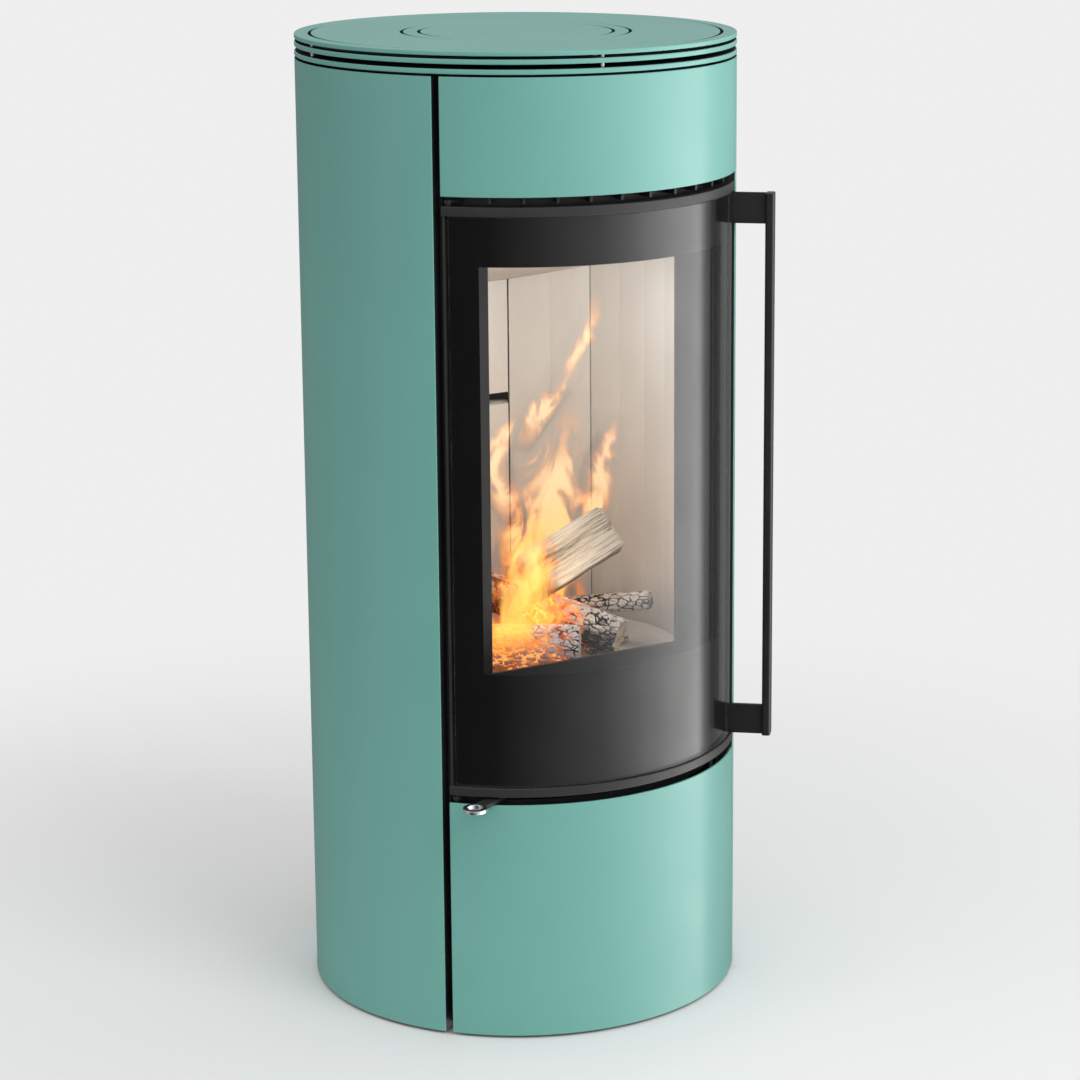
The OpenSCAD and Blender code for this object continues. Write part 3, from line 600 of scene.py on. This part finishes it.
def side_outline(mirror):
    """Plan outline of a side panel: a long arc, a soft fold and a flange towards the axis."""
    fold, inner = 1.0, 0.3
    points = []
    first = SIDE_START + math.degrees(fold / BODY_R)
    for i in range(81):
        points.append(polar(BODY_R, SIDE_END + (first - SIDE_END) * i / 80))
    root, out_dir = Vector(polar(BODY_R - fold, first)), Vector(polar(1, first))
    along = Vector((out_dir.y, -out_dir.x))
    for i in range(1, 9):
        t = math.radians(90 * i / 8)
        points.append(tuple(root + out_dir * fold * math.cos(t) + along * fold * math.sin(t)))
    tip = Vector(points[-1])
    flange = tip - out_dir * (BODY_R - fold - 208.2)
    points += [tuple(flange), tuple(flange - along * CLAD_T)]
    knee = root + along * (fold - CLAD_T) - out_dir * (CLAD_T - fold + inner)
    for i in range(5):
        t = math.radians(90 * i / 4)
        points.append(tuple(knee - along * (inner * (1 - math.cos(t))) + out_dir * (inner * math.sin(t))))
    for i in range(1, 81):
        points.append(polar(BODY_R - CLAD_T, first + (SIDE_END - first) * i / 80))
    if mirror:
        points = [(-x, y) for x, y in reversed(points)]
    return points


def paint_shade_black(piece, reach, top=None):
    """Makes the faces black that lie inside a radius or, where top is given, deeper than it: painted shade for the dark
    gaps, the slot walls and the inner faces of the enamelled pieces.
    """
    piece.data.materials.append(BLACK)
    for face in piece.data.polygons:
        x, y, z = face.center / MM
        if math.hypot(x, y) < reach and (top is None or z < top):
            face.material_index = 1


for side, mirrored in (("right", False), ("left", True)):
    name = "side_panel_" + side
    outline = side_outline(mirrored)
    skin = extruded(name + "_skin", outline, CLAD_Z, CLAD_TOP, 0.35, TEAL, "body", (name,))
    # Painted shade: the fold's flange and the panel's inner faces get black so that the gap beside the door reads dark.
    paint_shade_black(skin, BODY_R - 1.4)
bent_box("upper_front_skin", BODY_R - CLAD_T, BODY_R, -FRONT_HALF, FRONT_HALF, 862.6, CLAD_TOP, 0.7, TEAL, "body", ("upper_front_panel",))
bent_box("lower_door_skin", BODY_R - CLAD_T, BODY_R, -FRONT_HALF, FRONT_HALF, CLAD_Z, 249.6, 0.7, TEAL, "lower_door", ("lower_door_panel",))

# The last of these is how far below the top face the painted shade of the slots and gaps starts.
TOP_Z, TOP_T, SHADE_DEPTH = 1002.5, 4.5, 1.1
PLATE_Z = TOP_Z - TOP_T
RINGS = (
    ("ring_lower", 190, BODY_R, 980.4, 985.4, 1.0), ("ring_middle", 190, BODY_R, 990.0, 995.0, 1.0),
    ("ring_top", 211.1, BODY_R, PLATE_Z, TOP_Z, 0.9), ("top_plate", 118.1, 207.9, PLATE_Z, TOP_Z, 0.6),
    ("flue_ring", 100.8, 114.9, PLATE_Z, TOP_Z, 0.6),
)
for name, r0, r1, z0, z1, edge in RINGS:
    skin = turned(name + "_skin", rounded_section(r0, r1, z0, z1, edge), TEAL, "body", (name,))
    # Painted shade: faces of the rings inside the outer skin and below the top face get black, for the gaps between the
    # rings and the slot walls.
    paint_shade_black(skin, BODY_R - 1.2, TOP_Z - SHADE_DEPTH)
cover = turned_disc("flue_cover_skin", 97.6, PLATE_Z, TOP_Z, 0.6, TEAL, "body", ("flue_cover",))
# Painted shade: the cover's rim wall and underside below the top face get black.
paint_shade_black(cover, BODY_R, TOP_Z - SHADE_DEPTH)

# ---- Fire door ----

DOOR_Z, DOOR_TOP, RAIL_H = 257.4, 853.2, 9.8
GLASS_Z, GLASS_TOP = DOOR_Z + RAIL_H + 0.3, DOOR_TOP - RAIL_H - 0.3
bent_box("rail_bottom_bar", 209.0, 224.5, -FRONT_HALF, FRONT_HALF, DOOR_Z, DOOR_Z + RAIL_H, 0.9, RAIL, "fire_door", ("door_rails",))
bent_box("rail_top_bar", 209.0, 224.5, -FRONT_HALF, FRONT_HALF, DOOR_TOP - RAIL_H, DOOR_TOP, 0.9, RAIL, "fire_door")
bent_box("door_glass_pane", 219.0, 223.0, -47.9, 47.9, GLASS_Z, GLASS_TOP, 0.8, GLASS, "fire_door", ("door_glass",))
bent_frame("glass_print_film", 218.6, 218.9, 47.9, GLASS_Z, GLASS_TOP, 40.0, 384.0, 794.0, PRINT, "fire_door", ("glass_print",))

HANDLE_A, HANDLE_R, HANDLE_W, HANDLE_D = 49.85, 257.0, 18.0, 9.0
HANDLE_Z, HANDLE_TOP, BRACKET_H = 265.6, 841.6, 32.0


def turn_to_handle(bm):
    bmesh.ops.rotate(bm, verts=bm.verts, cent=(0, 0, 0), matrix=Matrix.Rotation(math.radians(HANDLE_A), 3, "Z"))


bar = box_bm(-HANDLE_W / 2, HANDLE_W / 2, -HANDLE_R - HANDLE_D, -HANDLE_R, HANDLE_Z, HANDLE_TOP, 0)
upright = [e for e in bar.edges if abs(e.verts[0].co.z - e.verts[1].co.z) > 1]
bmesh.ops.bevel(bar, geom=upright, offset=2.5, segments=6, profile=0.5, affect="EDGES")
caps = [e for e in bar.edges if abs(e.verts[0].co.z - e.verts[1].co.z) < 1e-6]
bmesh.ops.bevel(bar, geom=caps, offset=0.6, segments=2, profile=0.5, affect="EDGES")
turn_to_handle(bar)
face_weights(finish_mesh(bar, "handle_bar", HANDLE, "fire_door", ("door_handle",), 45))
for name, z in (("handle_bracket_low", HANDLE_Z), ("handle_bracket_high", HANDLE_TOP - BRACKET_H)):
    plate = box_bm(-2.0, 2.0, -HANDLE_R - 0.3, -211.0, z, z + BRACKET_H, 0.5)
    turn_to_handle(plate)
    face_weights(finish_mesh(plate, name, HANDLE, "fire_door", (), 45))


def rope_path(half, z0, z1, r, step):
    """Evenly spaced points round a curved rectangle with rounded corners: (arc length, height)."""
    width, corner = math.radians(half) * r, 9.0
    outline = []
    for cx, cz, start in ((width - corner, z1 - corner, 0), (-width + corner, z1 - corner, 90),
                          (-width + corner, z0 + corner, 180), (width - corner, z0 + corner, 270)):
        for i in range(13):
            t = math.radians(start + 90 * i / 12)
            outline.append(Vector((cx + corner * math.cos(t), cz + corner * math.sin(t))))
    spaced, carry = [], 0.0
    for p, q in zip(outline, outline[1:] + outline[:1]):
        length = (q - p).length
        while carry < length:
            spaced.append(p + (q - p) * (carry / length))
            carry += step
        carry -= length
    return spaced


def braided_rope(name, r_mid, half, z0, z1, wide, deep, strands, pitch, mat, replaces):
    """A rope seal: an oval tube whose surface is raised in twisted strands."""
    path = rope_path(half, z0, z1, r_mid, 1.3)
    bm = bmesh.new()
    around = 20
    rings = []
    for i, p in enumerate(path):
        tangent = (path[(i + 1) % len(path)] - path[i - 1]).normalized()
        side = Vector((tangent.y, -tangent.x))
        ring = []
        for j in range(around):
            t = 2 * math.pi * j / around
            lift = 0.86 + 0.14 * abs(math.sin(strands / 2 * (t + 2 * math.pi * i * 1.3 / pitch)))
            q = p + side * (wide / 2 * math.cos(t) * lift)
            r = r_mid + deep / 2 * math.sin(t) * lift
            ring.append(bm.verts.new((*polar(r, math.degrees(q.x / r_mid)), q.y)))
        rings.append(ring)
    for a, b in zip(rings, rings[1:] + rings[:1]):
        for j in range(around):
            bm.faces.new([a[j], b[j], b[(j + 1) % around], a[(j + 1) % around]])
    return finish_mesh(bm, name, mat, "fire_door", replaces, 70)


braided_rope("door_rope", 206.7, 45.15, 279, 833, 8.6, 4.2, 6, 60.0, ROPE, ("door_rope_seal",))

# ---- Air lever ----

LEVER_A, LEVER_LEN, PIVOT_Y, LEVER_Z, LEVER_T = -61.8, 186.0, -100.0, 251.2, 4.0
ring_x, ring_y = polar(LEVER_LEN, LEVER_A)
RING_CENTRE = (ring_x, ring_y + PIVOT_Y)
turned("finger_ring_rim", rounded_section(11.2, 12.25, LEVER_Z - 0.1, LEVER_Z + LEVER_T - 0.6, 0.35), CHROME, "air_lever", (), RING_CENTRE, 72)
turned("finger_hole_rim", rounded_section(7.45, 8.3, LEVER_Z - 0.1, LEVER_Z + LEVER_T + 0.1, 0.3), CHROME, "air_lever", (), RING_CENTRE, 72)


# ---- Fuel ----


def smooth_between(lo, hi, x):
    t = min(1.0, max(0.0, (x - lo) / (hi - lo)))
    return t * t * (3 - 2 * t)


def float_layers(bm):
    """Vertex values that the fuel materials read. They are all made before any is used."""
    keys = ("crack", "upward", "ember", "burnt", "fresh")
    for key in keys:
        bm.verts.layers.float.new(key)
    return {key: bm.verts.layers.float[key] for key in keys}


def make_log(name, p, q, sides, spin, seed, mats, crazed, rough, heat_at=None, heat_reach=60.0, fresh=1.0, replaces=()):
    """A log between two points. sides are its split faces, each (distance from the middle, direction), or
    the radius of a round log. crazed is the depth of its charred cracks in millimetres, rough the height of
    its fibres, and fresh the share of its length after which the wood isn't burnt yet."""
    p, q = Vector(p), Vector(q)
    axis = (q - p).normalized()
    length = (q - p).length
    turn = axis.to_track_quat("Z", "Y").to_matrix().to_4x4()
    matrix = Matrix.Translation(p * MM) @ turn @ Matrix.Rotation(math.radians(spin), 4, "Z")
    around, along = 132, max(40, int(length / 1.0))
    shift = Vector((seed * 17.3, seed * 5.1, seed * 9.7))
    mesh = bpy.data.meshes.new(name)
    bm = bmesh.new()
    layers = float_layers(bm)
    to_world = matrix.to_3x3()

    def radius(t):
        wavy = 1 + 0.05 * noise.noise(Vector((math.cos(t) * 1.3, math.sin(t) * 1.3, seed * 3.7)))
        if isinstance(sides, (int, float)):
            return wavy * sides
        return wavy * min(d / max(0.05, math.cos(t - math.radians(a))) for d, a in sides)

    def crack_at(local):
        spot = Vector((local.x, local.y, local.z * 0.62)) / 7.0 + shift
        warp = noise.noise_vector(spot * 1.7) * 0.28
        near = noise.voronoi(spot + warp)[0]
        small = noise.voronoi((spot + warp) * 2.3)[0]
        deep = 1 - smooth_between(0.02, 0.17, near[1] - near[0])
        fine = 1 - smooth_between(0.02, 0.16, small[1] - small[0])
        return max(deep, 0.45 * fine)

    def place(t, z, shrink):
        r = radius(t) * shrink
        local = Vector((r * math.cos(t), r * math.sin(t), z))
        wave = noise.fractal(Vector((local.x, local.y, z * 0.3)) / 16 + shift, 1.0, 2.0, 4)
        fibre = noise.fractal(Vector((local.x * 1.6, local.y * 1.6, z * 0.09)) / 5 + shift, 0.9, 2.1, 4)
        crack = crack_at(local) * (1 - smooth_between(fresh, fresh + 0.18, z / length)) if crazed else 0.0
        out = Vector((math.cos(t), math.sin(t), 0))
        local += out * (wave * 1.6 * rough + fibre * 0.9 * rough - crack * crazed)
        return local, crack, out

    rings = []
    for i in range(along + 1):
        s = i / along
        z = s * length
        ring = []
        for j in range(around):
            t = 2 * math.pi * j / around
            taper = 1 - 0.10 * smooth_between(0.93, 1.0, abs(2 * s - 1))
            local, crack, out = place(t, z, taper)
            if i in (0, along):
                local.z += noise.noise(Vector((math.cos(t) * 3, math.sin(t) * 3, seed))) * 1.2
            v = bm.verts.new(local * MM)
            world = matrix @ (local * MM) / MM
            v[layers["crack"]] = crack
            v[layers["upward"]] = max(0.0, (to_world @ out).z)
            v[layers["ember"]] = 0.0 if heat_at is None else max(0.0, 1 - (world - Vector(heat_at)).length / heat_reach)
            v[layers["fresh"]] = smooth_between(fresh, fresh + 0.18, s)
            v[layers["burnt"]] = max(0.0, -(to_world @ out).z) * 0.5 + 0.5 * smooth_between(0.7, 1.0, s)
            ring.append(v)
        rings.append(ring)
    for a, b in zip(rings, rings[1:]):
        for j in range(around):
            k = (j + 1) % around
            bm.faces.new([a[j], a[k], b[k], b[j]])
    for ring, side in ((rings[0], -1), (rings[-1], 1)):
        inner = ring
        for shrink in (0.8, 0.55, 0.3, 0.1):
            smaller = []
            for j, v in enumerate(ring):
                spot = Vector((v.co.x * shrink, v.co.y * shrink, v.co.z))
                spot.z += side * 0.0006 * (noise.noise(spot * 300 + shift) - 0.4)
                w = bm.verts.new(spot)
                for key in layers:
                    w[layers[key]] = v[layers[key]] * (0.5 if key == "crack" else 1)
                smaller.append(w)
            for j in range(around):
                k = (j + 1) % around
                f = bm.faces.new([inner[j], inner[k], smaller[k], smaller[j]])
                f.material_index = len(mats) - 1
            inner = smaller
        cap = bm.faces.new(inner)
        cap.material_index = len(mats) - 1
    bmesh.ops.recalc_face_normals(bm, faces=bm.faces)
    for face in bm.faces:
        face.smooth = True
    for edge in bm.edges:
        edge.smooth = edge.calc_face_angle(0) < math.radians(60)
    bm.to_mesh(mesh)
    bm.free()
    return add_piece(mesh, name, mats, "body", replaces, matrix)


HOT_SPOT = (-45, -60, 372)
PLANK = ((13.0, -4), (23.5, 96), (12.0, 173), (24.0, 264))
QUARTER = ((17.0, 0), (19.0, 80), (18.0, 150), (19.0, 215), (18.0, 285))
make_log("log_split", (94, -28, 473), (-4, -20, 428), PLANK, 36, 1, [SPLIT, ENDS], 0.0, 0.9, replaces=("firewood",))
make_log("log_charred", (76, -74, 368), (-64, 106, 424), QUARTER, 20, 2, [CHAR, ENDS], 1.4, 0.8, (26, -10, 388), 72, 0.62)
make_log("log_ashy", (123, -60, 398), (44, 36, 380), 10.0, 0, 3, [ASH, CHAR], 0.9, 0.7, (40, 20, 380), 40)
make_log("log_glowing", (-105, -8, 371), (15, -94, 371), 22.5, 0, 4, [COALS, COALS], 1.8, 0.8, HOT_SPOT, 120)


def make_coals():
    """Loose embers and ash lumps between the logs, resting on the firebed."""
    bm = bmesh.new()
    layers = float_layers(bm)
    placed = []
    i = 0
    while len(placed) < 95 and i < 4000:
        i += 1
        a = (math.sin(i * 12.9898) * 43758.5453) % 1.0
        b = (math.sin(i * 78.233) * 12543.137) % 1.0
        c = (math.sin(i * 39.425) * 9631.77) % 1.0
        x, y, r = -110 + 220 * a, -112 + 150 * b, 3.0 + 6.0 * c * c
        if math.hypot(x, y) > 132 or any(math.hypot(x - u, y - v) < (r + w) * 0.86 for u, v, w in placed):
            continue
        placed.append((x, y, r))
        lump = bmesh.ops.create_icosphere(bm, subdivisions=3, radius=r)["verts"]
        lean = Matrix.Rotation(a * 6.28, 3, "Z") @ Matrix.Diagonal((1.0 + 0.5 * b, 0.85, 0.62))
        for v in lump:
            v.co = lean @ v.co
            spot = v.co / 4.5 + Vector((i, i * 0.37, 0))
            near = noise.voronoi(spot)[0]
            crack = 1 - smooth_between(0.02, 0.25, near[1] - near[0])
            v.co *= 1 + 0.22 * noise.noise(spot) - 0.10 * crack
            v[layers["crack"]] = crack
            v[layers["upward"]] = max(0.0, v.co.z / r)
            v.co += Vector((x, y, 345.3 + r * 0.62))
            v[layers["ember"]] = max(0.0, 1 - (v.co - Vector(HOT_SPOT)).length / 120)
    bmesh.ops.scale(bm, vec=(MM, MM, MM), verts=bm.verts)
    for face in bm.faces:
        face.smooth = True
    mesh = bpy.data.meshes.new("ember_bed")
    bm.to_mesh(mesh)
    bm.free()
    return add_piece(mesh, "ember_bed", [COALS], "body")


make_coals()


def make_tongue(name, spine, widths, facing, seed):
    """A closed lens-shaped tongue of fire along a spine of points. facing turns its broad side, in degrees."""
    rows, columns = 56, 22
    points = [Vector(s) for s in spine]

    def along(s):
        x = s * (len(points) - 1)
        i = min(int(x), len(points) - 2)
        f = x - i
        a = points[max(i - 1, 0)]
        b, c = points[i], points[i + 1]
        d = points[min(i + 2, len(points) - 1)]
        return 0.5 * ((2 * b) + (c - a) * f + (2 * a - 5 * b + 4 * c - d) * f * f + (3 * b - a - 3 * c + d) * f ** 3)

    def width(s):
        x = s * (len(widths) - 1)
        i = min(int(x), len(widths) - 2)
        return widths[i] + (widths[i + 1] - widths[i]) * (x - i)

    bm = bmesh.new()
    uv = bm.loops.layers.uv.new("UVMap")
    grid = {}
    for i in range(rows + 1):
        s = i / rows
        centre = along(s)
        turn = math.radians(facing + 24 * math.sin(3.1 * s + seed))
        side = Vector((math.cos(turn), math.sin(turn), 0))
        front = Vector((math.sin(turn), -math.cos(turn), 0))
        for j in range(columns + 1):
            u = 2 * j / columns - 1
            ripple = noise.noise(Vector((u * 1.4, s * 4.5, seed))) * 7
            thick = 1.6 * (1 - u * u) * math.sin(math.pi * min(1, max(0, s)))
            for k in (-1, 1):
                if k == 1 and (j in (0, columns) or i in (0, rows)):
                    grid[i, j, 1] = grid[i, j, -1]
                    continue
                grid[i, j, k] = bm.verts.new((centre + side * (u * width(s)) + front * (ripple + k * thick)) * MM)
    for i in range(rows):
        for j in range(columns):
            for k in (-1, 1):
                quad = [(i, j), (i, j + 1), (i + 1, j + 1), (i + 1, j)]
                face = bm.faces.new([grid[(*c, k)] for c in (quad if k == -1 else quad[::-1])])
                face.smooth = True
                for loop, c in zip(face.loops, quad if k == -1 else quad[::-1]):
                    loop[uv].uv = (c[1] / columns, c[0] / rows)
    mesh = bpy.data.meshes.new(name)
    bm.to_mesh(mesh)
    bm.free()
    return add_piece(mesh, name, [FLAME], "body")


FLAMES = {
    "main": ([(28, 14, 350), (29, 14, 400), (33, 14, 450), (41, 14, 500), (52, 14, 550), (70, 14, 618)],
             [58, 70, 74, 68, 52, 24], -29, 1),
    "tip": ([(16, 30, 556), (28, 24, 580), (40, 18, 606), (58, 16, 628), (73, 16, 654), (92, 16, 676),
             (100, 16, 700), (104, 16, 735)], [12, 16, 20, 24, 22, 22, 18, 8], -29, 5),
    "curl": ([(-20, -20, 490), (-36, -20, 530), (-42, -20, 560), (-34, -20, 590), (-14, -20, 608)],
             [12, 20, 22, 18, 8], -29, 3),
    "wisp": ([(80, 0, 455), (92, 0, 496), (97, 0, 530), (106, 0, 560), (120, 0, 590)],
             [14, 22, 22, 18, 8], -29, 4),
    "low": ([(-58, -98, 372), (-72, -98, 410), (-66, -98, 445), (-52, -96, 480), (-40, -94, 530)],
            [50, 56, 48, 34, 16], -24, 7),
    "heart": ([(-20, -60, 366), (-14, -58, 400), (-8, -56, 440), (0, -54, 490)],
              [40, 48, 42, 20], -29, 9),
}
for name, (spine, widths, facing, seed) in FLAMES.items():
    make_tongue("flame_" + name, spine, widths, facing, seed).visible_shadow = False

# ---- Stage, light and camera ----

floor_mesh = bpy.data.meshes.new("floor")
bm = bmesh.new()
bmesh.ops.create_circle(bm, cap_ends=True, segments=96, radius=2.4)
bm.to_mesh(floor_mesh)
bm.free()
floor_mesh.materials.append(make_floor())
floor = bpy.data.objects.new("floor", floor_mesh)
bpy.context.scene.collection.objects.link(floor)
floor.visible_glossy = False


def studio():
    """Soft studio surroundings: an even dome and, low down, a broad soft light to the right of the front."""
    world = bpy.data.worlds.new("studio")
    bpy.context.scene.world = world
    world.use_nodes = True
    tree = world.node_tree
    tree.nodes.clear()
    split = tree.nodes.new("ShaderNodeSeparateXYZ")
    tree.links.new(tree.nodes.new("ShaderNodeTexCoord").outputs["Generated"], split.inputs[0])
    x, y, z = split.outputs
    heading = math_node(tree, "ARCTAN2", x, math_node(tree, "MULTIPLY", y, -1.0))
    turn = remap(tree, heading, -math.pi, math.pi)

    def grey(v):
        return (v, v, v)

    stops = [(-180, 0.05), (-130, 0.07), (-100, 0.10), (-70, 0.015), (-45, 0.02), (-20, 0.08), (14, 0.22), (33, 0.42), (62, 0.88), (82, 0.90), (88, 0.24), (95, 0.07), (118, 0.08), (140, 0.05)]
    low = ramp(tree, turn, [((a + 180) / 360, grey(v)) for a, v in stops])
    dome = ramp(tree, remap(tree, z, -0.1, 1.0), [(0.0, grey(0.225)), (0.5, grey(0.25)), (1.0, grey(0.205))])
    behind = math_node(tree, "MULTIPLY", remap(tree, y, 0.1, 0.8, smooth=True), remap(tree, z, 0.35, 0.75, 1.0, 0.0, True))
    dome = mix(tree, behind, dome, grey(0.085))
    light = mix(tree, remap(tree, z, -0.10, 0.06, smooth=True), low, dome)
    path = tree.nodes.new("ShaderNodeLightPath")
    seen = tree.nodes.new("ShaderNodeBackground")
    seen.inputs[0].default_value = (0.86, 0.86, 0.86, 1)
    cast = tree.nodes.new("ShaderNodeBackground")
    cast.inputs["Strength"].default_value = 4.0
    tree.links.new(light, cast.inputs[0])
    both = tree.nodes.new("ShaderNodeMixShader")
    tree.links.new(path.outputs["Is Camera Ray"], both.inputs[0])
    tree.links.new(cast.outputs[0], both.inputs[1])
    tree.links.new(seen.outputs[0], both.inputs[2])
    out = tree.nodes.new("ShaderNodeOutputWorld")
    tree.links.new(both.outputs[0], out.inputs["Surface"])


studio()


def area_light(name, place, target, size, watts, colour=(1, 1, 1)):
    data = bpy.data.lights.new(name, "AREA")
    data.shape = "RECTANGLE"
    data.size, data.size_y = size
    data.energy = watts
    data.color = colour
    obj = bpy.data.objects.new(name, data)
    obj.location = place
    obj.rotation_euler = (Vector(target) - Vector(place)).to_track_quat("-Z", "Y").to_euler()
    obj.visible_camera = False
    obj.visible_glossy = False
    bpy.context.scene.collection.objects.link(obj)
    return obj


area_light("fire_fill", (-0.01, -0.11, 0.775), (-0.02, 0.12, 0.48), (0.18, 0.04), 0.215, (1.0, 0.99, 0.975))
area_light("fire_fill_left", (0.085, -0.10, 0.775), (-0.09, 0.10, 0.50), (0.05, 0.04), 0.37, (1.0, 0.99, 0.98))
area_light("fire_glow", (-0.03, -0.10, 0.46), (0.0, 0.1, 0.5), (0.10, 0.10), 0.12, (1.0, 0.76, 0.52))
area_light("front_softbox", (0.45, -2.4, 2.3), (0.0, 0.0, 0.55), (1.6, 1.6), 27.0)

camera = bpy.data.objects.new("camera", bpy.data.cameras.new("camera"))
bpy.context.scene.collection.objects.link(camera)
bpy.context.scene.camera = camera
camera.location = (-1.650, -2.870, 1.299)
camera.rotation_euler = (math.radians(90 - 12.96), 0, math.radians(-32.48))
camera.data.sensor_width = 36
camera.data.lens = 107.7
camera.data.shift_x, camera.data.shift_y = -0.1136, -0.06
camera.data.clip_start, camera.data.clip_end = 0.05, 60
bpy.context.scene.view_settings.view_transform = "Standard"

bpy.context.view_layer.update()
